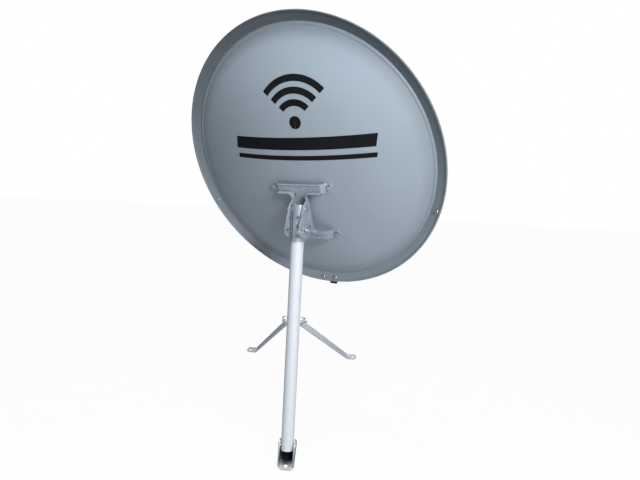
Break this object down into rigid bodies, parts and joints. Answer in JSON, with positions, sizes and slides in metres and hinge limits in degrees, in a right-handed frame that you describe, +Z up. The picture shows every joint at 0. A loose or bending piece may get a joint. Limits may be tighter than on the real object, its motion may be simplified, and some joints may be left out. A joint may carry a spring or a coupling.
{
  "type": "satellite dish",
  "caption": "Offset satellite dish on an adjustable roof mast with two stays, elevation and azimuth head, feed arm and low-noise block.",
  "frame": {"origin": "mouth of the foot bolt hole, on the roof side of the shoe's plate", "axes": "+Z up along the mast, +X along the elevation pivot to the right seen from behind the dish, +Y level, the way the dish looks"},
  "size_m": [0.6, 0.6953, 0.9402],
  "materials": {
    "dish_paint": "satin powder coat",
    "zinc_sheet": "galvanised sheet",
    "zinc_tube": "galvanised tube",
    "bolt_zinc": "bright zinc plated",
    "arm_paint": "satin powder coat",
    "black_plastic": "moulded, fine grain",
    "lnb_plastic": "moulded, light grey",
    "lnb_metal": "die cast",
    "connector_metal": "nickel plated"
  },
  "bodies": {
    "foot": {"foot_shoe": "zinc_sheet", "foot_rivet": "bolt_zinc"},
    "mast": {"mast_tube": "zinc_tube", "mast_cap": "black_plastic", "stay_bolt": "bolt_zinc", "stay_nut": "bolt_zinc"},
    "stay_left": {"stay_left": "zinc_sheet"},
    "stay_right": {"stay_right": "zinc_sheet"},
    "head": {"mast_bracket": "zinc_sheet", "slit_liner": "black_plastic", "clamp_screws": "bolt_zinc", "pivot_bolt": "bolt_zinc", "pivot_nut": "bolt_zinc", "lock_studs": "bolt_zinc", "lock_washers": "bolt_zinc", "lock_nuts": "bolt_zinc"},
    "dish": {"reflector": "dish_paint", "dish_bracket": "zinc_sheet", "dish_bolts": "bolt_zinc", "dish_nuts": "bolt_zinc", "feed_arm": "arm_paint", "feed_arm_block": "black_plastic", "feed_arm_plug": "black_plastic", "feed_arm_bolt": "bolt_zinc", "feed_arm_screws": "bolt_zinc", "side_rod_right": "bolt_zinc", "side_rod_left": "bolt_zinc", "side_rod_screws": "bolt_zinc", "side_rod_nuts": "bolt_zinc", "lnb_holder_lower": "black_plastic", "lnb_holder_upper": "black_plastic", "lnb_holder_screws": "bolt_zinc", "holder_bolt": "bolt_zinc", "holder_nut": "bolt_zinc"},
    "lnb": {"lnb_horn": "lnb_metal", "lnb_cap": "lnb_plastic", "lnb_body": "lnb_plastic", "f_connector": "connector_metal"}
  },
  "joints": [
    {"name": "mast_tilt", "type": "hinge", "parent": "foot", "child": "mast", "pos_m": [-0.00409, 0.01054, 0.04233], "axis": [0.9323, 0.3616, 0], "range_deg": [-25, 37]},
    {"name": "stay_left_fold", "type": "hinge", "parent": "mast", "child": "stay_left", "pos_m": [-0.00409, 0.01054, 0.32333], "axis": [0.9323, 0.3616, 0], "range_deg": [-58, 10]},
    {"name": "stay_right_fold", "type": "hinge", "parent": "mast", "child": "stay_right", "pos_m": [-0.00409, 0.01054, 0.32333], "axis": [0.9323, 0.3616, 0], "range_deg": [-58, 10]},
    {"name": "azimuth", "type": "hinge", "parent": "mast", "child": "head", "pos_m": [-0.00409, 0.01054, 0.52233], "axis": [0, 0, 1], "continuous": true},
    {"name": "elevation", "type": "hinge", "parent": "head", "child": "dish", "pos_m": [-0.00409, 0.00504, 0.56393], "axis": [1, 0, 0], "range_deg": [-24, 28]},
    {"name": "lnb_skew", "type": "hinge", "parent": "dish", "child": "lnb", "pos_m": [-0.00409, 0.50914, 0.69583], "axis": [0, -0.9936, -0.1132], "range_deg": [-60, 60]}
  ]
}
